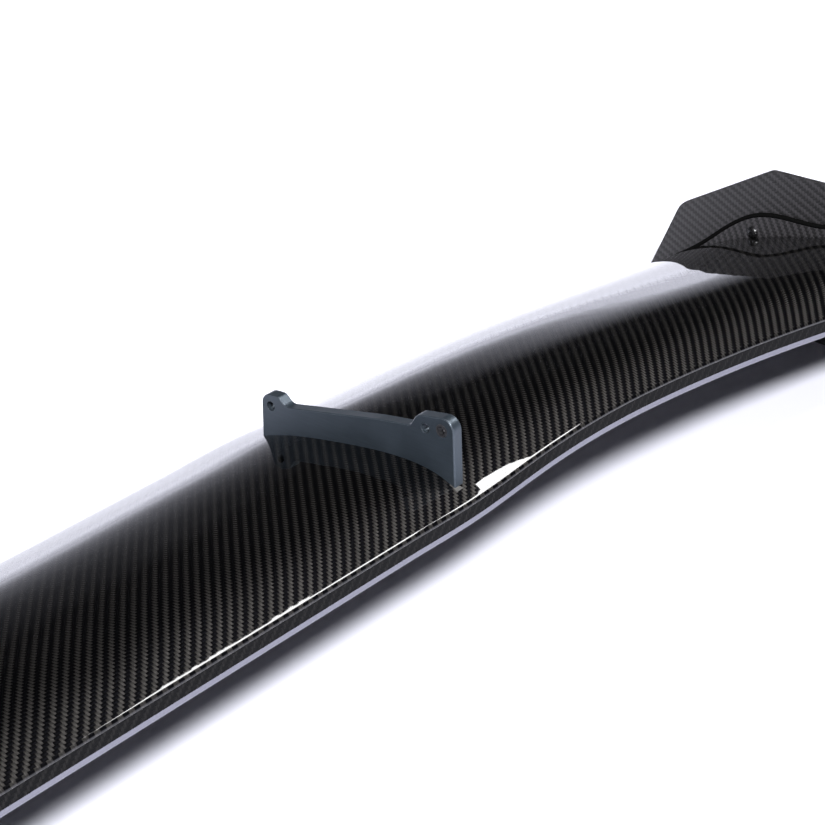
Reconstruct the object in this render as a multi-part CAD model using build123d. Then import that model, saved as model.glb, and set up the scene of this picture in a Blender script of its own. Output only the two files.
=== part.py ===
from build123d import *
import math
import os

# Racing rear wing, lying suction side up on the lower edges of its end plates.
# X runs along the span, +Y towards the leading edge, +Z up; the origin is the middle
# of the object's footprint on the surface it lies on. All sizes are millimetres.

# Driving dimensions of the whole wing
BENCH_DROP = 97.0
EDGE_TO_MIDDLE = 68.7
STRAIGHT_HALF_SPAN = 365.0
TIP_X = 842.5
SKIN = 1.5
BOND_GAP = 0.1
SAME_PLACE = 1e-4

# Wing section at the middle, measured (forward, up) from the trailing edge crease
SUCTION_SIDE = [(0, 0), (22, 9.6), (52, 11.8), (100, 5), (150, -7.2), (185, -22.2), (201, -33)]
NOSE = (206, -44)
PRESSURE_SIDE = [(201.5, -51.5), (190, -53), (150, -37.5), (100, -19), (50, -3.5), (22, 1.2), (5, -3)]
LEADING_REFERENCE = (195, -28)

# Outer wing stations: span, leading edge set back, leading edge drop, chord scale, twist
STATIONS = [
    (STRAIGHT_HALF_SPAN, 0, 0, 1.0, 0.0),
    (410, 3, 1.5, 1.0, 2.0),
    (470, 5, 2.5, 1.0, 3.2),
    (570, 7, 6, 1.02, 3.2),
    (650, 10, 12, 1.045, 3.2),
    (750, 11, 23, 1.11, 3.3),
    (TIP_X, 12, 33, 1.185, 3.3),
]

# Trailing edge lip
LIP_HEIGHT = 15.3
LIP_RAKE = 1.5
LIP_THICKNESS = 3.4
LIP_EDGE_RADIUS = 1.2

# Inner structure, all Y values measured forward from the middle section's crease
FRONT_SPAR_Y = 152.0
FRONT_SPAR_THICKNESS = 5.0
REAR_SPAR_Y = 62.0
REAR_SPAR_THICKNESS = 4.0
RIB_THICKNESS = 5.0
OUTER_RIB_X = 600.0
TIP_RIB_THICKNESS = 10.0
TIP_RIB_TAIL_Y = -38.0
HARD_POINT_WIDTH = 16.0
RIB_NOSE_Y = 178.0
JOINT_STRIP_SHARE = 0.09
JOINT_STRIP_THICKNESS = 1.2

# Mounting brackets, outlines measured (forward, up) from the middle section's crease
BRACKET_X = 350.0
BRACKET_THICKNESS = 8.0
BRACKET_FOOT = (9.0, 163.6)
BRACKET_TOP = [
    (12.4, 50.6), (39.8, 45.4), (44.6, 36.8), (70, 32.4), (143.5, 15.8), (150, 21.2), (163.6, 20)
]
BRACKET_TOP_RADII = [8.0, 7.0, 4.0, 40.0, 6.0, 4.0, 7.5]
BRACKET_SEAT = 0.4
SEAT_BEAD = 0.8
FRONT_HOLE = (156.2, 12.6)
REAR_HOLE = (33.0, 38.4)
INSERT_HOLE = (20.9, 40.7)
BRACKET_HOLE_RADIUS = 3.25
INSERT_OUTER_RADIUS = 4.2
INSERT_THREAD_RADIUS = 2.5
EDGE_BREAK = 0.5
FOOT_ALLOWANCE = 30.0

# Screws that hold a bracket from the pressure side
BRACKET_SCREW_Y = (30.0, 88.0, 138.0)
SCREW_RADIUS = 2.5
SCREW_DEPTH = 10.0
TAP_DEPTH = 12.0
FIT_GAP = 0.05
SLEEVE_RADIUS = 4.5
SCREW_HEAD_RADIUS = 4.75
SCREW_HEAD_HEIGHT = 2.75
HEX_SOCKET_RADIUS = 1.75
HEX_SOCKET_DEPTH = 1.6
SEAT_WASHER_RADIUS = 7.5
SEAT_WASHER_LIP = 1.2

# End plates and the flanges that carry them
FLANGE_THICKNESS = 3.0
FLANGE_TOP = [
    (-60, -24), (-52, -4), (12, 16), (52, -1), (84, -3.5), (112, -7.5), (134, -20.5), (160, -43.5), (185, -62)
]
FLANGE_BOTTOM = [(200, -84), (186, -93), (160, -91), (92, -79), (40, -58), (-20, -50), (-50, -44)]
END_PLATE_THICKNESS = 3.5
END_PLATE_SIDE = [(120, -97), (217, -97), (182.7, -16.8), (104, 30), (-76.5, 33), (-76.5, -97), (20, -97)]
END_PLATE_RADII = [6.0, 20.0, 12.0, 6.0, 6.0]
END_SCREWS = [(115, -22), (12, 4), (-38, -38), (92, -68)]
END_SCREW_RADIUS = 2.5
END_WASHER_RADIUS = 6.0
END_WASHER_THICKNESS = 1.0
END_NUT_RADIUS = 4.6
END_NUT_HEIGHT = 5.0
SCREW_PROUD = 1.0


def at(x, point):
    """A point of a section, given from the middle section's crease, in the wing's frame."""
    return (x, point[0] - EDGE_TO_MIDDLE, point[1] + BENCH_DROP)


def station_point(station, point):
    """Where a point of the middle section goes at an outer station."""
    set_back, drop, scale, twist = station[1:]
    angle = -math.radians(twist)
    forward = scale * (point[0] - LEADING_REFERENCE[0])
    up = scale * (point[1] - LEADING_REFERENCE[1])
    y = LEADING_REFERENCE[0] - set_back + forward * math.cos(angle) - up * math.sin(angle)
    z = LEADING_REFERENCE[1] - drop + forward * math.sin(angle) + up * math.cos(angle)
    return (y, z)


def section_curves(station, inset=0.0):
    """The suction and pressure sides of a section, moved inwards by a wall thickness."""
    points = SUCTION_SIDE + [NOSE] + PRESSURE_SIDE
    places = [at(station[0], station_point(station, point)) for point in points]
    whole = Spline(*places)
    if inset:
        inner = []
        for place in places:
            along = whole.tangent_at(whole.param_at_point(Vector(*place)))
            inner.append(Vector(*place) + Vector(0, along.Z, -along.Y) * inset)
        places = inner
        whole = Spline(*places)
    nose = whole.param_at_point(Vector(*places[len(SUCTION_SIDE)]))
    return whole.trim(0, nose), whole.trim(nose, 1)


def ring(*edges):
    """Joins curves, given in order, with straight lines into one closed outline."""
    closed = []
    for index, edge in enumerate(edges):
        following = edges[(index + 1) % len(edges)]
        closed.append(edge)
        if (edge @ 1 - following @ 0).length > SAME_PLACE:
            closed.append(Line(edge @ 1, following @ 0))
    return Wire(closed)


def suction_outline(station):
    outer, _ = section_curves(station)
    inner, _ = section_curves(station, SKIN)
    return ring(outer, inner.reversed())


def pressure_outline(station):
    _, outer = section_curves(station)
    _, inner = section_curves(station, SKIN)
    return ring(outer, inner.reversed())


def hollow_outline(station):
    """The space inside the skins, less the bond line."""
    upper, lower = section_curves(station, SKIN + BOND_GAP)
    return Wire([upper, lower, Line(lower @ 1, upper @ 0)])


def joint_strip_outline(station):
    """The strip inside the nose that laps both skins."""
    upper, lower = section_curves(station, SKIN + BOND_GAP)
    upper_inner, lower_inner = section_curves(station, SKIN + BOND_GAP + JOINT_STRIP_THICKNESS)
    start = 1 - JOINT_STRIP_SHARE
    return ring(
        upper.trim(start, 1),
        lower.trim(0, JOINT_STRIP_SHARE),
        lower_inner.trim(0, JOINT_STRIP_SHARE).reversed(),
        upper_inner.trim(start, 1).reversed(),
    )


def lip_outline(station):
    """The blunt strip that hangs from the trailing edge crease, behind both skins."""
    inner, _ = section_curves(station, SKIN)
    crease = Vector(*at(station[0], station_point(station, (0, 0))))
    top = inner @ 0
    foot = crease + Vector(0, -LIP_RAKE, -LIP_HEIGHT)
    back_foot = foot + Vector(0, LIP_THICKNESS, 0)
    back_top = top + Vector(0, LIP_THICKNESS - LIP_RAKE / 2, LIP_THICKNESS * 0.3)
    strip = Face(Wire(Polyline(top, foot, back_foot, back_top, close=True).edges()))
    feet = strip.vertices().sort_by(Axis.Z)[:2]
    return strip.fillet_2d(LIP_EDGE_RADIUS, feet).outer_wire()


def straight_part(outline):
    """A solid over the straight middle of the span from outline(station)."""
    return extrude(Face(outline(STATIONS[0])), 2 * STRAIGHT_HALF_SPAN, dir=(-1, 0, 0))


def along_span(outline, holes=()):
    """A solid over the whole span from outline(station), with holes in its straight middle."""
    straight = straight_part(outline)
    for hole in holes:
        straight -= hole
    right = Solid.make_loft([outline(station) for station in STATIONS])
    left = mirror(right, about=Plane.YZ)
    return straight + right + left


def slab(x_low, x_high, y_low, y_high):
    """A tall block between two span places and two places forward of the crease."""
    low = Vector(*at(x_low, (y_low, -BENCH_DROP - 10)))
    size = (x_high - x_low, y_high - y_low, 2 * BENCH_DROP)
    return Pos(*low) * Box(*size, align=(Align.MIN, Align.MIN, Align.MIN))


def upright_rod(x, y, z_low, z_high, radius):
    low = Vector(*at(x, (y, z_low)))
    return Pos(*low) * Cylinder(radius, z_high - z_low, align=(Align.CENTER, Align.CENTER, Align.MIN))


def cross_rod(x_low, x_high, point, radius):
    """A rod along the span, from x_low to x_high."""
    low = Vector(*at(x_low, point))
    rod = Cylinder(radius, x_high - x_low, align=(Align.CENTER, Align.CENTER, Align.MIN))
    return Pos(*low) * Rot(0, 90, 0) * rod


def rounded_side_view(points, radii):
    """A face in the plane X = 0, with a radius at every point but the first and last."""
    path = FilletPolyline(*[Vector(*at(0, point)) for point in points], radius=radii)
    return Face(Wire(path.edges() + [Line(path @ 1, path @ 0)]))


def thick_plate(face, x_low, thickness):
    return Pos(x_low, 0, 0) * extrude(face, thickness, dir=(1, 0, 0))


def button_screw(length):
    """A button head socket screw along +Z, its head's underside at Z = 0."""
    dome_radius = (SCREW_HEAD_RADIUS**2 + SCREW_HEAD_HEIGHT**2) / (2 * SCREW_HEAD_HEIGHT)
    head = Pos(0, 0, dome_radius - SCREW_HEAD_HEIGHT) * Sphere(dome_radius)
    head &= Pos(0, 0, -SCREW_HEAD_HEIGHT) * Cylinder(
        SCREW_HEAD_RADIUS, SCREW_HEAD_HEIGHT, align=(Align.CENTER, Align.CENTER, Align.MIN)
    )
    socket = extrude(RegularPolygon(HEX_SOCKET_RADIUS, 6), HEX_SOCKET_DEPTH)
    head -= Pos(0, 0, -SCREW_HEAD_HEIGHT) * socket
    shank = Cylinder(SCREW_RADIUS, length, align=(Align.CENTER, Align.CENTER, Align.MIN))
    return head + shank


def suction_height(y):
    """Height of the suction surface over a place forward of the crease, middle section."""
    upper, _ = section_curves(STATIONS[0])
    probe = Line(at(STRAIGHT_HALF_SPAN, (y, -BENCH_DROP)), at(STRAIGHT_HALF_SPAN, (y, BENCH_DROP)))
    return (upper & probe).vertices()[0].Z - BENCH_DROP


def pressure_height(y):
    _, lower = section_curves(STATIONS[0])
    probe = Line(at(STRAIGHT_HALF_SPAN, (y, -BENCH_DROP)), at(STRAIGHT_HALF_SPAN, (y, BENCH_DROP)))
    return (lower & probe).vertices()[0].Z - BENCH_DROP


def bracket_middle():
    return BRACKET_X + BRACKET_THICKNESS / 2


def build_skins():
    holes = []
    for x in (-bracket_middle(), bracket_middle()):
        for y in BRACKET_SCREW_Y:
            holes.append(upright_rod(x, y, -BENCH_DROP, BENCH_DROP, SCREW_RADIUS + FIT_GAP))
    return along_span(suction_outline, holes), along_span(pressure_outline, holes)


def build_spars(hollow):
    reach = TIP_X - TIP_RIB_THICKNESS
    front_half = FRONT_SPAR_THICKNESS / 2
    rear_half = REAR_SPAR_THICKNESS / 2
    front = hollow & slab(-reach, reach, FRONT_SPAR_Y - front_half, FRONT_SPAR_Y + front_half)
    rear = hollow & slab(-reach, reach, REAR_SPAR_Y - rear_half, REAR_SPAR_Y + rear_half)
    return front, rear


def build_rib(hollow, x, thickness, tail_y):
    """Tail, middle and nose pieces of a rib, which stop at the two spars."""
    bays = [
        (tail_y, REAR_SPAR_Y - REAR_SPAR_THICKNESS / 2),
        (REAR_SPAR_Y + REAR_SPAR_THICKNESS / 2, FRONT_SPAR_Y - FRONT_SPAR_THICKNESS / 2),
        (FRONT_SPAR_Y + FRONT_SPAR_THICKNESS / 2, RIB_NOSE_Y),
    ]
    low = x - thickness / 2
    return [hollow & slab(low, low + thickness, start, end) for start, end in bays]


def build_hard_point(hollow):
    pieces = build_rib(hollow, bracket_middle(), HARD_POINT_WIDTH, 8)
    drilled = []
    for piece in pieces:
        for y in BRACKET_SCREW_Y:
            piece -= upright_rod(bracket_middle(), y, -BENCH_DROP, BENCH_DROP, SLEEVE_RADIUS + FIT_GAP)
        drilled.append(piece)
    return drilled


def build_sleeves(hollow):
    sleeves = []
    for y in BRACKET_SCREW_Y:
        rod = upright_rod(bracket_middle(), y, -BENCH_DROP, BENCH_DROP, SLEEVE_RADIUS)
        bore = upright_rod(bracket_middle(), y, -BENCH_DROP, BENCH_DROP, SCREW_RADIUS + FIT_GAP)
        sleeves.append((rod & hollow) - bore)
    return sleeves


def build_bracket(wing_below):
    """An upright plate whose underside follows the wing, with one ear at each end."""
    back, front = BRACKET_FOOT
    corners = [(back, -FOOT_ALLOWANCE)] + BRACKET_TOP + [(front, -FOOT_ALLOWANCE)]
    plate = thick_plate(rounded_side_view(corners, BRACKET_TOP_RADII), BRACKET_X, BRACKET_THICKNESS)
    rims = plate.edges().filter_by(Plane.YZ)
    plate = chamfer(rims, EDGE_BREAK)
    plate -= wing_below
    x_end = BRACKET_X + BRACKET_THICKNESS
    for point in (FRONT_HOLE, REAR_HOLE):
        plate -= cross_rod(BRACKET_X, x_end, point, BRACKET_HOLE_RADIUS)
    plate -= cross_rod(BRACKET_X, x_end, INSERT_HOLE, INSERT_OUTER_RADIUS)
    for y in BRACKET_SCREW_Y:
        top = suction_height(y) + TAP_DEPTH
        plate -= upright_rod(bracket_middle(), y, -BENCH_DROP, top, SCREW_RADIUS + FIT_GAP)
    return plate


def build_thread_insert():
    x_end = BRACKET_X + BRACKET_THICKNESS
    body = cross_rod(BRACKET_X, x_end, INSERT_HOLE, INSERT_OUTER_RADIUS)
    return body - cross_rod(BRACKET_X, x_end, INSERT_HOLE, INSERT_THREAD_RADIUS)


def seat_outline(station):
    upper, _ = section_curves(station)
    raised, _ = section_curves(station, -BRACKET_SEAT)
    return ring(upper, raised.reversed())


def below_seat_outline(station):
    raised, _ = section_curves(station, -BRACKET_SEAT)
    low_front = Vector((raised @ 1).X, (raised @ 1).Y, 0)
    low_back = Vector((raised @ 0).X, (raised @ 0).Y, 0)
    return Wire([raised, Line(raised @ 1, low_front), Line(low_front, low_back), Line(low_back, raised @ 0)])


def build_bracket_seat():
    """The thin bonding bead between the bracket's underside and the skin."""
    x_low = BRACKET_X - SEAT_BEAD
    x_high = BRACKET_X + BRACKET_THICKNESS + SEAT_BEAD
    back, front = BRACKET_FOOT
    seat = straight_part(seat_outline) & slab(x_low, x_high, back - SEAT_BEAD, front + SEAT_BEAD)
    for y in BRACKET_SCREW_Y:
        seat -= upright_rod(bracket_middle(), y, -BENCH_DROP, BENCH_DROP, SCREW_RADIUS + FIT_GAP)
    return seat


def washer_floor(y):
    """The lowest level of the sloping washer under the pressure skin."""
    ends = (pressure_height(y - SEAT_WASHER_RADIUS), pressure_height(y + SEAT_WASHER_RADIUS))
    return min(ends) - SEAT_WASHER_LIP


def build_bracket_screws():
    screws = []
    for y in BRACKET_SCREW_Y:
        floor = washer_floor(y)
        length = suction_height(y) + SCREW_DEPTH - floor
        place = Vector(*at(bracket_middle(), (y, floor)))
        screws.append(Pos(*place) * button_screw(length))
    return screws


def build_seat_washers(wing):
    washers = []
    for y in BRACKET_SCREW_Y:
        floor = washer_floor(y)
        x = bracket_middle()
        body = upright_rod(x, y, floor, pressure_height(y) + SEAT_WASHER_RADIUS, SEAT_WASHER_RADIUS)
        body -= upright_rod(x, y, floor, BENCH_DROP, SCREW_RADIUS + FIT_GAP)
        washers.append((body - wing).solids().sort_by(Axis.Z)[0])
    return washers


def build_flange():
    top = Spline(*[Vector(*at(0, point)) for point in FLANGE_TOP])
    bottom = Spline(*[Vector(*at(0, point)) for point in FLANGE_BOTTOM])
    plate = thick_plate(Face(ring(top, bottom)), TIP_X, FLANGE_THICKNESS)
    return plate - end_screw_holes()


def end_screw_holes():
    x_end = TIP_X + FLANGE_THICKNESS + END_PLATE_THICKNESS
    rods = [cross_rod(TIP_X, x_end, point, END_SCREW_RADIUS + FIT_GAP) for point in END_SCREWS]
    return Compound(rods)


def build_end_plate():
    side = rounded_side_view(END_PLATE_SIDE, END_PLATE_RADII)
    plate = thick_plate(side, TIP_X + FLANGE_THICKNESS, END_PLATE_THICKNESS)
    return plate - end_screw_holes()


def build_end_hardware():
    """Screws, washers and nuts that clamp an end plate to its flange."""
    outside = TIP_X + FLANGE_THICKNESS + END_PLATE_THICKNESS
    nut_face = outside + END_WASHER_THICKNESS
    length = nut_face + END_NUT_HEIGHT + SCREW_PROUD - TIP_X
    screws = []
    washers = []
    nuts = []
    for point in END_SCREWS:
        place = Vector(*at(TIP_X, point))
        screws.append(Pos(*place) * Rot(0, 90, 0) * button_screw(length))
        washer = cross_rod(outside, nut_face, point, END_WASHER_RADIUS)
        nut_end = nut_face + END_NUT_HEIGHT
        hexagon = extrude(RegularPolygon(END_NUT_RADIUS, 6), END_NUT_HEIGHT)
        nut = Pos(*at(nut_face, point)) * Rot(0, 90, 0) * hexagon
        hole = cross_rod(outside, nut_end, point, END_SCREW_RADIUS + FIT_GAP)
        washers.append(washer - hole)
        nuts.append(nut - hole)
    return screws, washers, nuts


def save(name, solids):
    pieces = solids if isinstance(solids, list) else [solids]
    found = [solid for piece in pieces for solid in piece.solids()]
    export_step(found[0] if len(found) == 1 else Compound(found), f"parts/{name}.step")


def save_pair(name, solids):
    pieces = solids if isinstance(solids, list) else [solids]
    save(f"{name}_right", pieces)
    save(f"{name}_left", [mirror(piece, about=Plane.YZ) for piece in pieces])


os.makedirs("parts", exist_ok=True)
hollow = along_span(hollow_outline)
suction_skin, pressure_skin = build_skins()
front_spar, rear_spar = build_spars(hollow)
reach = TIP_X - TIP_RIB_THICKNESS
joint_strip = along_span(joint_strip_outline) & slab(-reach, reach, 0, 220)
tip_rib = hollow & slab(reach, TIP_X, TIP_RIB_TAIL_Y, 220)
end_screws, end_washers, end_nuts = build_end_hardware()
save("suction_skin", suction_skin)
save("pressure_skin", pressure_skin)
save("trailing_edge_lip", along_span(lip_outline))
save("leading_edge_joint_strip", joint_strip)
save("front_spar", front_spar)
save("rear_spar", rear_spar)
save("center_rib", build_rib(hollow, 0, RIB_THICKNESS, 8))
save_pair("bracket_hard_point", build_hard_point(hollow))
save_pair("outer_rib", build_rib(hollow, OUTER_RIB_X, RIB_THICKNESS, 2))
save_pair("tip_rib", tip_rib)
save_pair("mounting_bracket", build_bracket(straight_part(below_seat_outline)))
save_pair("bracket_bond_line", build_bracket_seat())
save_pair("bracket_thread_insert", build_thread_insert())
save_pair("bracket_screws", build_bracket_screws())
save_pair("bracket_screw_washers", build_seat_washers(straight_part(pressure_outline)))
save_pair("bracket_screw_sleeves", build_sleeves(hollow))
save_pair("end_plate_flange", build_flange())
save_pair("end_plate", build_end_plate())
save_pair("end_plate_screws", end_screws)
save_pair("end_plate_washers", end_washers)
save_pair("end_plate_nuts", end_nuts)
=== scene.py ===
import math

import bmesh
import bpy
import numpy as np
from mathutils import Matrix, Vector


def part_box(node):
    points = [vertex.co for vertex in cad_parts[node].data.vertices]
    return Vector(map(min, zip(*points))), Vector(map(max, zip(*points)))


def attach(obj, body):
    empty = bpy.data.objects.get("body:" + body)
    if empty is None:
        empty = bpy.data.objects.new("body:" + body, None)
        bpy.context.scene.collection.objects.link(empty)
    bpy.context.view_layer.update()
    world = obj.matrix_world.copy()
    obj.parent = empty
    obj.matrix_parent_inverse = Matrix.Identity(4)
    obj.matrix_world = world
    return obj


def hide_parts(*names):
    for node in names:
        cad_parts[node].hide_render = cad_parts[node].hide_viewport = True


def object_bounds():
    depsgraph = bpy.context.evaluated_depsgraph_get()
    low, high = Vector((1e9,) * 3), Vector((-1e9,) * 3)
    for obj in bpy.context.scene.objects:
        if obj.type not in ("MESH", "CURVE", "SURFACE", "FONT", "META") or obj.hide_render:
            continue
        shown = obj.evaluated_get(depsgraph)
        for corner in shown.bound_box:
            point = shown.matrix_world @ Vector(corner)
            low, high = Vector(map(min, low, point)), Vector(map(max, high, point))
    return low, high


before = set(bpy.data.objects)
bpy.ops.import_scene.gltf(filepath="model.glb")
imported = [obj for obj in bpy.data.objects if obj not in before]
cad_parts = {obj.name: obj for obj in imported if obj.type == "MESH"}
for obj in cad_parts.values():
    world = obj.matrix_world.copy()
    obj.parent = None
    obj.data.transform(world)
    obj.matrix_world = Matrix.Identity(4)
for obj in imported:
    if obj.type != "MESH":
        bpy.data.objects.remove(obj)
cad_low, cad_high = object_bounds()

MM = 0.001

# The wing's driving dimensions, in millimetres from the middle section's crease. The crease lies
# BENCH_DROP above the bench and EDGE_TO_MIDDLE behind the middle of the frame.
BENCH_DROP = 97.0
EDGE_TO_MIDDLE = 68.7
STRAIGHT_HALF_SPAN = 365.0
TIP_X = 842.5
SKIN = 1.5
SUCTION_SIDE = [(0, 0), (22, 9.6), (52, 11.8), (100, 5), (150, -7.2), (185, -22.2), (201, -33)]
NOSE = (206, -44)
PRESSURE_SIDE = [(201.5, -51.5), (190, -53), (150, -37.5), (100, -19), (50, -3.5), (22, 1.2), (5, -3)]
LEADING_REFERENCE = (195, -28)
# Outer stations: span, leading edge set back, leading edge drop, chord scale, twist in degrees
STATIONS = [
    (STRAIGHT_HALF_SPAN, 0, 0, 1.0, 0.0),
    (410, 3, 1.5, 1.0, 2.0),
    (470, 5, 2.5, 1.0, 3.2),
    (570, 7, 6, 1.02, 3.2),
    (650, 10, 12, 1.045, 3.2),
    (750, 11, 23, 1.11, 3.3),
    (TIP_X, 12, 33, 1.185, 3.3),
]
LIP_HEIGHT = 15.3
LIP_RAKE = 1.5
LIP_THICKNESS = 3.4
LIP_FOOT_RADIUS = 2.9
# Heights of the lower and upper end of the lip's flat back
LIP_BACK_ENDS = (0.3 - LIP_HEIGHT, -2.0)
CREASE_RADIUS = 2.4
# Width of one tow of the cloth
TOW = 2.0
FLANGE_THICKNESS = 3.0
FLANGE_TOP = [
    (-60, -24), (-52, -4), (12, 16), (52, -1), (84, -3.5), (112, -7.5), (134, -20.5), (160, -43.5), (185, -62)
]
BEAD_RADIUS = 1.8
BRACKET_ROUNDING = 0.7
PLATE_ROUNDING = 0.4

# How finely the visible surfaces are divided
CREASE_STEPS = 13
FACE_STEPS = 12
FOOT_STEPS = 15
BACK_STEPS = 4
# Rows of the lip's face, above its foot, that get the foot's painted pale reflection
EDGE_ROWS = 3
SUCTION_STEPS = 110
PRESSURE_STEPS = 90
BEAD_STEPS = 160


# ---------------------------------------------------------------- curves

def natural_spline(knots, values):
    """Second-derivative solution of a natural cubic spline; returns an evaluator."""
    knots = np.asarray(knots, float)
    values = np.asarray(values, float).reshape(len(knots), -1)
    count = len(knots)
    gaps = np.diff(knots)
    slopes = np.diff(values, axis=0) / gaps[:, None]
    matrix = np.eye(count)
    right = np.zeros_like(values)
    for row in range(1, count - 1):
        matrix[row, row - 1] = gaps[row - 1]
        matrix[row, row] = 2 * (gaps[row - 1] + gaps[row])
        matrix[row, row + 1] = gaps[row]
        right[row] = 6 * (slopes[row] - slopes[row - 1])
    bends = np.linalg.solve(matrix, right)

    def evaluate(places):
        places = np.asarray(places, float)
        index = np.clip(np.searchsorted(knots, places) - 1, 0, count - 2)
        gap = gaps[index][:, None]
        a = (knots[index + 1] - places)[:, None] / gap
        b = 1 - a
        bent = ((a**3 - a) * bends[index] + (b**3 - b) * bends[index + 1]) * gap**2 / 6
        return a * values[index] + b * values[index + 1] + bent

    return evaluate


def section_curve():
    """The middle section as one smooth curve over its chord-length knots."""
    points = np.array(SUCTION_SIDE + [NOSE] + PRESSURE_SIDE, float)
    steps = np.linalg.norm(np.diff(points, axis=0), axis=1)
    knots = np.concatenate([[0], np.cumsum(steps)])
    return natural_spline(knots, points), knots[len(SUCTION_SIDE)], knots[-1]


SECTION, NOSE_KNOT, HEEL_KNOT = section_curve()
# The straight middle has no set back or drop, full chord and no twist. The curve through the
# stations starts on it, at two places.
STRAIGHT = (0, 0, 1, 0)
STRAIGHT_PLACE = 200
BEND_START = 300
STATION_RULES = natural_spline(
    [STRAIGHT_PLACE, BEND_START] + [station[0] for station in STATIONS],
    [STRAIGHT, STRAIGHT] + [station[1:] for station in STATIONS],
)


def place_points(x, points):
    """Points of the middle section, moved to span place x, in the wing's frame."""
    x_abs = abs(x)
    set_back, drop, scale, twist = STRAIGHT if x_abs < BEND_START else STATION_RULES([x_abs])[0]
    angle = -math.radians(twist)
    forward = scale * (points[:, 0] - LEADING_REFERENCE[0])
    up = scale * (points[:, 1] - LEADING_REFERENCE[1])
    y = LEADING_REFERENCE[0] - set_back + forward * math.cos(angle) - up * math.sin(angle)
    z = LEADING_REFERENCE[1] - drop + forward * math.sin(angle) + up * math.cos(angle)
    return np.stack([np.full(len(points), float(x)), y - EDGE_TO_MIDDLE, z + BENCH_DROP], 1)


def span_places(reach):
    """Span places, close together where the wing changes shape."""
    outer = np.linspace(BEND_START, reach, 130)
    middle = np.linspace(-BEND_START, BEND_START, 61)
    return np.concatenate([-outer[::-1], middle[1:-1], outer])


# ---------------------------------------------------------------- meshes

def make_object(name, mesh, node=None, material=None):
    piece = bpy.data.objects.new(name, mesh)
    bpy.context.scene.collection.objects.link(piece)
    if material:
        mesh.materials.append(material)
    if node:
        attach(piece, "root")
        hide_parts(node)
    return piece


def grid_mesh(name, rows, weave, closed=False):
    """A sheet from rows of points, with each point's place in the cloth, in tows."""
    row_count, column_count = rows.shape[:2]
    mesh = bpy.data.meshes.new(name)
    faces = []
    last = column_count if closed else column_count - 1
    for r in range(row_count - 1):
        for c in range(last):
            n = (c + 1) % column_count
            a, b = r * column_count + c, r * column_count + n
            faces.append((a, a + column_count, b + column_count, b))
    mesh.from_pydata((rows.reshape(-1, 3) * MM).tolist(), [], faces)
    cloth = mesh.attributes.new("cloth", "FLOAT_VECTOR", "POINT")
    cloth.data.foreach_set("vector", weave.reshape(-1, 3).ravel())
    mesh.shade_smooth()
    mesh.update()
    return mesh


def add_modifier(piece, kind, **settings):
    modifier = piece.modifiers.new(kind.lower(), kind)
    for name, value in settings.items():
        setattr(modifier, name, value)
    return modifier


# Faces closer than the first angle count as one flat face; edges sharper than the second are rounded
FLAT_ANGLE = math.radians(0.6)
EDGE_ANGLE = math.radians(35)


def softened(node, material, edge_material, width):
    """A CAD piece copied with small rounded edges, which get their own worn finish."""
    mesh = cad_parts[node].data.copy()
    mesh.name = f"{node}_look"
    mesh.materials.clear()
    work = bmesh.new()
    work.from_mesh(mesh)
    bmesh.ops.remove_doubles(work, verts=work.verts, dist=1e-6)
    bmesh.ops.dissolve_limit(work, angle_limit=FLAT_ANGLE, verts=work.verts, edges=work.edges)
    work.to_mesh(mesh)
    work.free()
    piece = make_object(f"{node}_look", mesh, node, material)
    mesh.materials.append(edge_material)
    add_modifier(
        piece, "BEVEL", width=width, segments=3, material=1,
        limit_method="ANGLE", angle_limit=EDGE_ANGLE,
    )
    mesh.shade_smooth()
    add_modifier(piece, "WEIGHTED_NORMAL", keep_sharp=True)


# ---------------------------------------------------------------- materials

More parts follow.
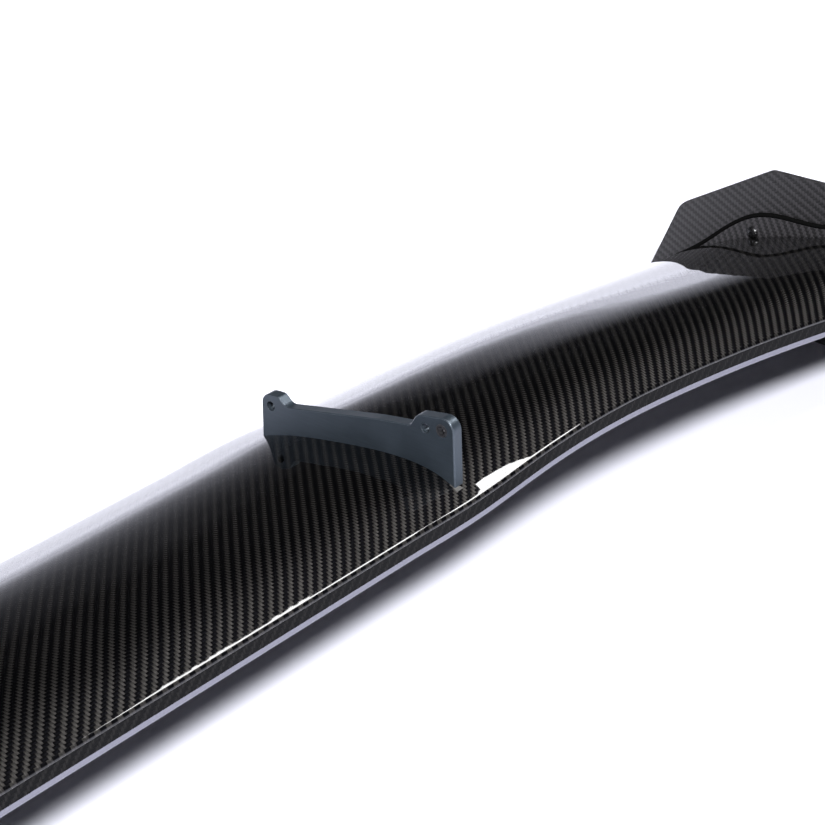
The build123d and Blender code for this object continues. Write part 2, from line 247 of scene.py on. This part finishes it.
class Nodes:
    """A short way to add nodes to one material and link them."""

    def __init__(self, name):
        self.material = bpy.data.materials.new(name)
        self.material.use_nodes = True
        self.tree = self.material.node_tree
        self.shader = self.tree.nodes["Principled BSDF"]

    def put(self, socket, value):
        if isinstance(value, bpy.types.NodeSocket):
            self.tree.links.new(value, socket)
        else:
            socket.default_value = value

    def math(self, operation, *inputs):
        node = self.tree.nodes.new("ShaderNodeMath")
        node.operation = operation
        for socket, value in zip(node.inputs, inputs):
            self.put(socket, value)
        return node.outputs[0]

    def mix(self, factor, a, b):
        """Blend of two colours."""
        node = self.tree.nodes.new("ShaderNodeMix")
        node.data_type = "RGBA"
        self.put(node.inputs["Factor"], factor)
        self.put(node.inputs[6], a)
        self.put(node.inputs[7], b)
        return node.outputs[2]

    def mix_value(self, factor, a, b):
        """Blend of two numbers."""
        node = self.tree.nodes.new("ShaderNodeMix")
        node.data_type = "FLOAT"
        self.put(node.inputs["Factor"], factor)
        self.put(node.inputs[2], a)
        self.put(node.inputs[3], b)
        return node.outputs[0]

    def separate(self, vector):
        node = self.tree.nodes.new("ShaderNodeSeparateXYZ")
        self.put(node.inputs[0], vector)
        return node.outputs

    def combine(self, x, y, z=0.0):
        node = self.tree.nodes.new("ShaderNodeCombineXYZ")
        for socket, value in zip(node.inputs, (x, y, z)):
            self.put(socket, value)
        return node.outputs[0]

    def noise(self, vector, scale, detail=2.0, roughness=0.5):
        node = self.tree.nodes.new("ShaderNodeTexNoise")
        self.put(node.inputs["Vector"], vector)
        node.inputs["Scale"].default_value = scale
        node.inputs["Detail"].default_value = detail
        node.inputs["Roughness"].default_value = roughness
        return node.outputs["Fac"]

    def ramp(self, factor, low, high, from_value=0.0, to_value=1.0):
        node = self.tree.nodes.new("ShaderNodeMapRange")
        for socket, value in zip(node.inputs, (factor, low, high, from_value, to_value)):
            self.put(socket, value)
        return node.outputs[0]

    def place(self):
        """Every point's place in the object, in metres."""
        return self.tree.nodes.new("ShaderNodeTexCoord").outputs["Object"]

    def bump(self, height, strength, distance):
        node = self.tree.nodes.new("ShaderNodeBump")
        node.inputs["Strength"].default_value = strength
        node.inputs["Distance"].default_value = distance
        self.put(node.inputs["Height"], height)
        return node.outputs[0]

    def finish(self, **settings):
        for name, value in settings.items():
            self.put(self.shader.inputs[name.replace("_", " ")], value)
        return self.material


# Changes of the fibre pattern in one tow, along the fibres and across them
FIBRE_LENGTH = 0.35
FIBRE_COUNT = 9.0


def twill(nodes, cloth):
    """2x2 twill from a cloth place in tows: which tow is on top, its crown and its fibres."""
    across, along, _ = nodes.separate(cloth)
    column = nodes.math("FLOOR", across)
    row = nodes.math("FLOOR", along)
    u = nodes.math("SUBTRACT", nodes.math("SUBTRACT", across, column), 0.5)
    v = nodes.math("SUBTRACT", nodes.math("SUBTRACT", along, row), 0.5)
    step = nodes.math("FLOORED_MODULO", nodes.math("SUBTRACT", column, row), 4.0)
    chordwise = nodes.math("LESS_THAN", step, 1.5)
    # how far along its two-tow float a point is, from -1 to 1
    first_half = nodes.math("FLOORED_MODULO", step, 2.0)
    sign = nodes.math("SUBTRACT", nodes.math("MULTIPLY", first_half, 2.0), 1.0)
    run_chord = nodes.math("SUBTRACT", v, nodes.math("MULTIPLY", sign, 0.5))
    run_span = nodes.math("ADD", u, nodes.math("MULTIPLY", sign, 0.5))
    side = nodes.mix_value(chordwise, v, u)
    run = nodes.mix_value(chordwise, run_span, run_chord)
    edge = nodes.math("ABSOLUTE", nodes.math("MULTIPLY", side, 2.0))
    crown = nodes.math("SUBTRACT", 1.0, nodes.math("POWER", edge, 3.0))
    arch = nodes.math("COSINE", nodes.math("MULTIPLY", run, math.pi / 2))
    height = nodes.math("MULTIPLY", crown, arch)
    # fibres are long along their own tow and fine across it
    fibre_u = nodes.mix_value(
        chordwise, nodes.math("MULTIPLY", across, FIBRE_LENGTH), nodes.math("MULTIPLY", across, FIBRE_COUNT)
    )
    fibre_v = nodes.mix_value(
        chordwise, nodes.math("MULTIPLY", along, FIBRE_COUNT), nodes.math("MULTIPLY", along, FIBRE_LENGTH)
    )
    fibres = nodes.noise(nodes.combine(fibre_u, fibre_v, chordwise), 1.0, 3.0)
    return chordwise, height, fibres


def rgb(value, green=None, blue=None):
    """A colour for a socket; one value alone gives a grey."""
    return (value, value if green is None else green, value if blue is None else blue, 1.0)


def toned(depth, *colour):
    """A colour made darker or lighter by a factor."""
    return rgb(*[depth * channel for channel in colour])


def clear_coated_twill(name, depth, coat_weight):
    """Deep gloss carbon under clear coat: chordwise floats painted bright, spanwise ones near black, as a
    painted sheen.
    """
    nodes = Nodes(name)
    cloth = nodes.tree.nodes.new("ShaderNodeAttribute")
    cloth.attribute_name = "cloth"
    chordwise, height, fibres = twill(nodes, cloth.outputs["Vector"])
    drift = nodes.noise(cloth.outputs["Vector"], 0.05, 2.0)
    # painted sheen: chordwise floats get a brighter colour than spanwise ones, standing in for the light the
    # fibres reflect; the fibre speckle is the cloth's own
    bright = nodes.mix(fibres, toned(depth, 0.022, 0.021, 0.0202), toned(depth, 0.070, 0.066, 0.0635))
    dark = nodes.mix(fibres, toned(depth, 0.0015, 0.0015, 0.002), toned(depth, 0.006, 0.006, 0.0075))
    tows = nodes.mix(chordwise, dark, bright)
    # painted shade: darker towards each tow's edges and float ends, where the tows dip under each other; the
    # slow drift is the cloth's own uneven tone
    crown_shade = nodes.ramp(height, 0.0, 0.8, 0.4, 1.0)
    shade = nodes.math("MULTIPLY", crown_shade, nodes.ramp(drift, 0.3, 0.7, 0.85, 1.1))
    colour = nodes.mix(shade, rgb(0.003 * depth), tows)
    spanwise_roughness = nodes.ramp(fibres, 0, 1, 0.40, 0.5)
    roughness = nodes.mix_value(chordwise, spanwise_roughness, nodes.ramp(fibres, 0, 1, 0.45, 0.55))
    ripple = nodes.noise(nodes.place(), 60.0, 2.0)
    coat = nodes.bump(ripple, 0.02, 0.002)
    return nodes.finish(
        Base_Color=colour, Metallic=0.95, Roughness=roughness, Normal=nodes.bump(height, 0.5, 0.0004),
        Specular_Tint=rgb(0.13), Coat_Weight=coat_weight, Coat_Roughness=0.02, Coat_IOR=1.48,
        Coat_Normal=coat,
    )


def satin_twill(name, angle, depth):
    """Uncoated satin carbon plate: soft ribs from painted sheen, painted shade and relief, the cloth turned
    by an angle in the side view.
    """
    nodes = Nodes(name)
    _, forward, up = nodes.separate(nodes.place())
    turn = math.radians(angle)
    per_tow = 1 / (TOW * MM)
    across = nodes.math("ADD", nodes.math("MULTIPLY", forward, math.cos(turn) * per_tow),
                        nodes.math("MULTIPLY", up, -math.sin(turn) * per_tow))
    along = nodes.math("ADD", nodes.math("MULTIPLY", forward, math.sin(turn) * per_tow),
                       nodes.math("MULTIPLY", up, math.cos(turn) * per_tow))
    chordwise, height, fibres = twill(nodes, nodes.combine(across, along))
    # painted sheen: chordwise floats get a lighter colour than the other tows, standing in for the fibres'
    # reflection
    bright = nodes.mix(
        fibres, toned(depth, 0.019, 0.0178, 0.0197), toned(depth, 0.037, 0.0345, 0.0377)
    )
    dark = nodes.mix(
        fibres, toned(depth, 0.0045, 0.0042, 0.0046), toned(depth, 0.009, 0.0084, 0.0092)
    )
    tows = nodes.mix(chordwise, dark, bright)
    # painted shade: darker towards each tow's edges and float ends, where the tows dip
    colour = nodes.mix(nodes.ramp(height, 0, 0.7, 0.6, 1.0), rgb(0.012 * depth), tows)
    return nodes.finish(Base_Color=colour, Metallic=0.0, Roughness=nodes.ramp(fibres, 0, 1, 0.42, 0.55),
                        Specular_IOR_Level=0.5, Normal=nodes.bump(height, 0.35, 0.0003))


def anodised(name, colour, roughness):
    """Machined plate, anodised: faint tool lines and a cloudy tone."""
    nodes = Nodes(name)
    place = nodes.place()
    cloud = nodes.noise(place, 45.0, 3.0)
    x, y, z = nodes.separate(place)
    # the cutter ran along the plate, so its lines are long in Y and close together across it
    stretched = nodes.combine(
        nodes.math("MULTIPLY", x, 3000.0), nodes.math("MULTIPLY", y, 60.0), nodes.math("MULTIPLY", z, 900.0)
    )
    lines = nodes.noise(stretched, 1.0, 2.0)
    base = nodes.mix(cloud, toned(0.82, *colour), toned(1.15, *colour))
    lined = nodes.mix(nodes.ramp(lines, 0.35, 0.75, 0.0, 0.25), base, toned(1.5, *colour))
    return nodes.finish(Base_Color=lined, Metallic=0.6,
                        Roughness=nodes.ramp(cloud, 0.3, 0.7, roughness - 0.06, roughness + 0.08),
                        Normal=nodes.bump(lines, 0.15, 0.0002))


def grained(name, low, high, scale, roughness, metallic=0.0, bump=0.2, specular=0.5):
    """A plain finish with grain: speckled colour, uneven gloss and fine relief."""
    nodes = Nodes(name)
    place = nodes.place()
    grain = nodes.noise(place, scale, 4.0, 0.6)
    return nodes.finish(Base_Color=nodes.mix(grain, rgb(*low), rgb(*high)), Metallic=metallic,
                        Roughness=nodes.ramp(grain, 0.3, 0.7, roughness - 0.07, roughness + 0.07),
                        Specular_IOR_Level=specular, Normal=nodes.bump(grain, bump, 0.0003))


GLOSS = clear_coated_twill("clear_coated_twill", 1.0, 1.0)
# painted shade: the lip's face is the same cloth painted about a quarter as bright, under a thinner clear
# coat
LIP_FACE = clear_coated_twill("clear_coated_twill_lip_painted_shade", 0.27, 0.2)
# painted reflection: the lip's foot is painted pale lavender, standing in for the bright floor it mirrors
LIP_FOOT_REFLECTION = grained("lip_foot_painted_reflection", (0.09, 0.09, 0.118), (0.13, 0.13, 0.17), 400.0, 0.4)
PLATE = satin_twill("satin_twill_plate", 19.0, 1.0)
PLATE_EDGE = grained("cut_carbon_edge", (0.006, 0.006, 0.007), (0.025, 0.024, 0.025), 900.0, 0.5)
FLANGE = satin_twill("satin_twill_flange", -17.0, 1.25)
SLATE = anodised("slate_anodised", (0.036, 0.047, 0.06), 0.42)
SLATE_EDGE = anodised("slate_worn_edge", (0.10, 0.115, 0.135), 0.38)
LAMINATE = grained("bare_laminate", (0.01, 0.01, 0.012), (0.05, 0.05, 0.055), 500.0, 0.5)
CORE = grained("dense_core", (0.42, 0.36, 0.22), (0.6, 0.53, 0.38), 700.0, 0.8)
BOND = grained("adhesive_bead", (0.012, 0.012, 0.012), (0.08, 0.076, 0.072), 250.0, 0.45)
# painted shadow: a near-black, almost unreflecting bead standing for the shadow gap along each flange's upper
# edge
FLANGE_SHADOW_LINE = grained("painted_shadow_line", (0.001, 0.001, 0.001), (0.004, 0.004, 0.004), 600.0, 0.85, specular=0.03)
BLACK_OXIDE = grained("black_oxide", (0.008, 0.008, 0.009), (0.03, 0.03, 0.032), 1500.0, 0.28, 0.7, 0.1)
DARK_STEEL = grained("dark_steel", (0.05, 0.05, 0.055), (0.16, 0.16, 0.17), 1300.0, 0.35, 0.9, 0.1)
ZINC = grained("zinc_plate", (0.42, 0.42, 0.40), (0.66, 0.66, 0.64), 1200.0, 0.3, 1.0, 0.1)
TURNED = grained("turned_aluminium", (0.55, 0.55, 0.56), (0.8, 0.8, 0.81), 1400.0, 0.32, 1.0, 0.1)


# ---------------------------------------------------------------- wing skins

def arc_lengths(rows):
    """Distance along each row from its first point."""
    steps = np.linalg.norm(np.diff(rows, axis=1), axis=2)
    return np.concatenate([np.zeros((len(rows), 1)), np.cumsum(steps, axis=1)], axis=1)


def cloth_places(rows, start=None):
    lengths = arc_lengths(rows)
    if start is not None:
        lengths = start + lengths
    return np.stack([rows[:, :, 0] / TOW, lengths / TOW, np.zeros_like(lengths)], 2)


def crowded(start, end, count):
    """Places from start to end, closer together near both ends."""
    turn = np.linspace(0, math.pi, count)
    return start + (end - start) * (1 - np.cos(turn)) / 2


def crease_bend(x):
    """Arc at the trailing edge crease, from the lip's face to the skin, and its tangent length."""
    crease, ahead = place_points(x, SECTION([0.0, 1.0]))
    skin_way = (ahead - crease) / np.linalg.norm(ahead - crease)
    lip_way = np.array([0.0, -LIP_RAKE, -LIP_HEIGHT]) / math.hypot(LIP_RAKE, LIP_HEIGHT)
    half = math.acos(skin_way @ lip_way) / 2
    tangent = CREASE_RADIUS / math.tan(half)
    middle = (skin_way + lip_way) / np.linalg.norm(skin_way + lip_way)
    centre = crease + middle * CREASE_RADIUS / math.sin(half)
    aside = np.array([0.0, -middle[2], middle[1]])
    if aside @ skin_way < 0:
        aside = -aside
    turns = np.linspace(-1, 1, CREASE_STEPS) * (math.pi / 2 - half)
    arc = [centre + CREASE_RADIUS * (-middle * math.cos(turn) + aside * math.sin(turn)) for turn in turns]
    return np.array(arc), tangent


def suction_row(x, count):
    arc, tangent = crease_bend(x)
    skin = place_points(x, SECTION(crowded(tangent, NOSE_KNOT, count)))
    return np.concatenate([arc, skin[1:]])


def build_skins():
    places = span_places(TIP_X)
    suction = np.array([suction_row(x, SUCTION_STEPS) for x in places])
    lower = SECTION(crowded(NOSE_KNOT, HEEL_KNOT, PRESSURE_STEPS))
    pressure = np.array([place_points(x, lower) for x in places])
    top_lengths = arc_lengths(suction)[:, -1:]
    for name, rows, weave in (
        ("suction_skin", suction, cloth_places(suction)),
        ("pressure_skin", pressure, cloth_places(pressure, top_lengths)),
    ):
        mesh = grid_mesh(f"{name}_look", rows, weave)
        piece = make_object(f"{name}_look", mesh, name, GLOSS)
        add_modifier(piece, "SOLIDIFY", thickness=SKIN * MM, offset=1.0)


def lip_profile():
    """Outline of the lip below the crease's bend: down its face, round its foot, up its back."""
    lean = math.atan2(LIP_RAKE, LIP_HEIGHT)
    centre_z = LIP_FOOT_RADIUS - LIP_HEIGHT
    face_end = -(centre_z + LIP_FOOT_RADIUS * math.sin(lean)) / LIP_HEIGHT
    centre_y = LIP_FOOT_RADIUS * math.cos(lean) - LIP_RAKE * face_end
    # build_lip puts the first of these on the end of the crease's bend
    places = np.linspace(CREASE_RADIUS * 0.55 / LIP_HEIGHT, face_end, FACE_STEPS)
    face = [(-LIP_RAKE * place, -LIP_HEIGHT * place) for place in places]
    foot = []
    for angle in np.linspace(math.pi - lean, 1.5 * math.pi, FOOT_STEPS)[1:]:
        outward = (math.cos(angle), math.sin(angle))
        foot.append((centre_y + LIP_FOOT_RADIUS * outward[0], centre_z + LIP_FOOT_RADIUS * outward[1]))
    back_y = LIP_THICKNESS - LIP_RAKE
    back = [(back_y, height) for height in np.linspace(*LIP_BACK_ENDS, BACK_STEPS)]
    return np.array(face + foot + back)


def build_lip():
    """Its first line is the lower end of the crease's bend, so the skin runs into it smoothly."""
    profile = lip_profile()
    rows = []
    for x in span_places(TIP_X):
        crease = place_points(x, np.array([(0.0, 0.0)]))[0]
        row = crease + np.stack([np.zeros(len(profile)), profile[:, 0], profile[:, 1]], 1)
        row[0] = crease_bend(x)[0][0]
        rows.append(row)
    rows = np.array(rows)
    lengths = -arc_lengths(rows)
    weave = np.stack([rows[:, :, 0] / TOW, lengths / TOW, np.zeros_like(lengths)], 2)
    mesh = grid_mesh("trailing_edge_lip_look", rows, weave, closed=True)
    work = bmesh.new()
    work.from_mesh(mesh)
    bmesh.ops.holes_fill(work, edges=work.edges, sides=0)
    work.to_mesh(mesh)
    work.free()
    make_object("trailing_edge_lip_look", mesh, "trailing_edge_lip", LIP_FACE)
    mesh.materials.append(LIP_FOOT_REFLECTION)
    mesh.materials.append(GLOSS)
    # the foot and the lowest rows of the face get the painted floor reflection; the back gets the skin's
    # gloss
    for face in mesh.polygons:
        column = face.index % len(profile)
        if column >= FACE_STEPS + FOOT_STEPS - 2:
            face.material_index = 2
        elif column >= FACE_STEPS - EDGE_ROWS:
            face.material_index = 1


build_skins()
build_lip()

# ---------------------------------------------------------------- hardware

PLAIN_FINISHES = {
    "leading_edge_joint_strip": LAMINATE, "front_spar": LAMINATE, "rear_spar": LAMINATE,
    "center_rib": LAMINATE, "outer_rib": LAMINATE, "tip_rib": CORE, "bracket_hard_point": CORE,
    "bracket_bond_line": BOND, "bracket_thread_insert": DARK_STEEL, "bracket_screws": BLACK_OXIDE,
    "bracket_screw_washers": TURNED, "bracket_screw_sleeves": TURNED, "end_plate_screws": BLACK_OXIDE,
    "end_plate_washers": ZINC, "end_plate_nuts": ZINC,
}


def dress_cad_nodes():
    """CAD pieces that keep their own shape get their finish."""
    for node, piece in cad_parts.items():
        kind = node.removesuffix("_left").removesuffix("_right")
        if kind in PLAIN_FINISHES:
            piece.data.materials.clear()
            piece.data.materials.append(PLAIN_FINISHES[kind])


def build_flange_shadow_lines():
    """A near-black round bead along the upper edge of each flange where it meets the end plate: a painted
    shadow line for the gap there.
    """
    points = np.array(FLANGE_TOP, float)
    knots = np.concatenate([[0], np.cumsum(np.linalg.norm(np.diff(points, axis=0), axis=1))])
    line = natural_spline(knots, points)(np.linspace(0, knots[-1], BEAD_STEPS))
    for side, sign in (("left", -1), ("right", 1)):
        inner = sign * (TIP_X + FLANGE_THICKNESS - BEAD_RADIUS)
        curve = bpy.data.curves.new(f"flange_painted_shadow_{side}", "CURVE")
        curve.dimensions = "3D"
        curve.bevel_depth = BEAD_RADIUS * MM
        curve.bevel_resolution = 3
        curve.use_fill_caps = True
        spline = curve.splines.new("POLY")
        spline.points.add(len(line) - 1)
        for point, (forward, up) in zip(spline.points, line):
            point.co = (inner * MM, (forward - EDGE_TO_MIDDLE) * MM, (up + BENCH_DROP) * MM, 1)
        curve.materials.append(FLANGE_SHADOW_LINE)
        bead = bpy.data.objects.new(f"flange_painted_shadow_{side}", curve)
        bpy.context.scene.collection.objects.link(bead)
        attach(bead, "root")


dress_cad_nodes()
build_flange_shadow_lines()
for side in ("left", "right"):
    softened(f"mounting_bracket_{side}", SLATE, SLATE_EDGE, BRACKET_ROUNDING * MM)
    softened(f"end_plate_{side}", PLATE, PLATE_EDGE, PLATE_ROUNDING * MM)
    softened(f"end_plate_flange_{side}", FLANGE, PLATE_EDGE, PLATE_ROUNDING * MM)


# ---------------------------------------------------------------- floor, light, camera

# Brightness of the surroundings by the height of their direction: a white sweep, dark above it.
# The first two are the ends of the ramp.
SKY_STRENGTH = 1.85
SKY_TONES = [
    (0.0, 1.0), (1.0, 0.002), (0.017, 0.76), (0.05, 0.5), (0.08, 0.36), (0.105, 0.28), (0.14, 0.21),
    (0.175, 0.14), (0.225, 0.07), (0.26, 0.028), (0.3, 0.008),
]
SWEEP_COLOUR = (0.86, 0.87, 1.0)
# Off the wing's right end the sweep is lower: between these sideways parts of a direction, its
# height counts for up to this many times as much
SIDE_START, SIDE_END, SIDE_FACTOR = 0.6, 1.0, 3.1

# Metres. The floor brightens into the sweep between these distances behind the wing, and on its
# other sides between these distances from its middle.
FLOOR_HALF = 3.0
FLOOR_GLOW_REACH = (0.12, 0.9)
FLOOR_RIM_REACH = (1.3, 2.6)
FLOOR_GLOW = 0.85 * SKY_STRENGTH

# Each lamp's name, place, the point it faces, size in metres and power in watts
SOFT_BOXES = [
    ("key", (-1.2, -1.84, 2.34), (0.35, 0.0, 0), (0.46, 0.46), 240),
    ("overhead", (-0.3, 0.0, 1.8), (-0.3, 0.0, 0), (2.0, 1.1), 12),
    ("rear_panel", (1.6, -0.62, 1.7), (1.6, -0.62, 0.0), (0.8, 0.56), 32),
    ("small_panel", (1.37, -0.338, 1.7), (1.37, -0.338, 0.0), (0.30, 0.125), 2.7),
]

# The point the camera faces, in metres: past the right bracket's outer side and its near end, and
# above the bench. Then the camera's direction from it in degrees, its distance and its lens in mm.
AIM_PAST_BRACKET = (0.0566, 0.0853)
AIM_HEIGHT = 0.0993
CAMERA_AZIMUTH = -50.55
CAMERA_ELEVATION = 27.39
CAMERA_DISTANCE = 1.5
CAMERA_LENS = 104.77


def build_floor():
    nodes = Nodes("studio_floor")
    tone = nodes.noise(nodes.place(), 3.0, 2.0)
    sideways, forward, _ = nodes.separate(nodes.place())
    sideways_squared = nodes.math("POWER", nodes.math("ABSOLUTE", sideways), 2.0)
    forward_squared = nodes.math("POWER", nodes.math("ABSOLUTE", forward), 2.0)
    distance = nodes.math("SQRT", nodes.math("ADD", sideways_squared, forward_squared))
    behind = nodes.ramp(forward, *FLOOR_GLOW_REACH)
    around = nodes.ramp(distance, *FLOOR_RIM_REACH)
    glow = nodes.math("MULTIPLY", nodes.math("MAXIMUM", behind, around), FLOOR_GLOW)
    nodes.finish(Base_Color=nodes.mix(tone, rgb(0.76, 0.765, 0.86), rgb(0.78, 0.785, 0.88)), Roughness=0.7,
                 Emission_Color=rgb(*SWEEP_COLOUR), Emission_Strength=glow)
    mesh = bpy.data.meshes.new("floor")
    corners = [(x * FLOOR_HALF, y * FLOOR_HALF, 0) for x, y in ((-1, -1), (1, -1), (1, 1), (-1, 1))]
    mesh.from_pydata(corners, [], [(0, 1, 2, 3)])
    floor = make_object("floor", mesh, material=nodes.material)
    floor.location.z = cad_low.z


def build_sky():
    """A pale studio sweep low down, dark above it; it is lower off the wing's right end."""
    world = bpy.data.worlds.new("studio")
    bpy.context.scene.world = world
    world.use_nodes = True
    tree = world.node_tree
    place = tree.nodes.new("ShaderNodeTexCoord")
    split = tree.nodes.new("ShaderNodeSeparateXYZ")
    ramp = tree.nodes.new("ShaderNodeValToRGB")
    tree.links.new(place.outputs["Generated"], split.inputs[0])
    beyond = tree.nodes.new("ShaderNodeMapRange")
    tree.links.new(split.outputs[0], beyond.inputs[0])
    for socket, value in zip(beyond.inputs[1:5], (SIDE_START, SIDE_END, 1.0, SIDE_FACTOR)):
        socket.default_value = value
    height = tree.nodes.new("ShaderNodeMath")
    height.operation = "MULTIPLY"
    tree.links.new(split.outputs[2], height.inputs[0])
    tree.links.new(beyond.outputs[0], height.inputs[1])
    tree.links.new(height.outputs[0], ramp.inputs[0])
    tree.links.new(ramp.outputs[0], tree.nodes["Background"].inputs["Color"])
    tree.nodes["Background"].inputs["Strength"].default_value = SKY_STRENGTH
    stops = ramp.color_ramp.elements
    for index, (position, tone) in enumerate(SKY_TONES):
        stop = stops[index] if index < 2 else stops.new(position)
        stop.position = position
        stop.color = toned(tone, *SWEEP_COLOUR)


def soft_box(name, place, aim, size, power):
    light = bpy.data.lights.new(name, "AREA")
    light.shape = "RECTANGLE"
    light.size, light.size_y = size
    light.energy = power
    box = bpy.data.objects.new(name, light)
    bpy.context.scene.collection.objects.link(box)
    box.location = place
    box.rotation_euler = (Vector(aim) - Vector(place)).to_track_quat("-Z", "Y").to_euler()


def build_camera():
    """Looks down past the right bracket, from the trailing edge side and the left."""
    low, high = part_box("mounting_bracket_right")
    aim = Vector((high.x + AIM_PAST_BRACKET[0], low.y + AIM_PAST_BRACKET[1], AIM_HEIGHT))
    azimuth = math.radians(CAMERA_AZIMUTH)
    elevation = math.radians(CAMERA_ELEVATION)
    level = math.cos(elevation)
    back = Vector((math.sin(azimuth) * level, -math.cos(azimuth) * level, math.sin(elevation)))
    data = bpy.data.cameras.new("camera")
    data.sensor_width = 36.0
    data.lens = CAMERA_LENS
    data.clip_end = 100.0
    camera = bpy.data.objects.new("camera", data)
    bpy.context.scene.collection.objects.link(camera)
    camera.location = aim + CAMERA_DISTANCE * back
    camera.rotation_euler = (-back).to_track_quat("-Z", "Y").to_euler()
    bpy.context.scene.camera = camera


build_floor()
build_sky()
for name, place, aim, size, power in SOFT_BOXES:
    soft_box(name, place, aim, size, power)
build_camera()
bpy.context.scene.view_settings.view_transform = "Standard"
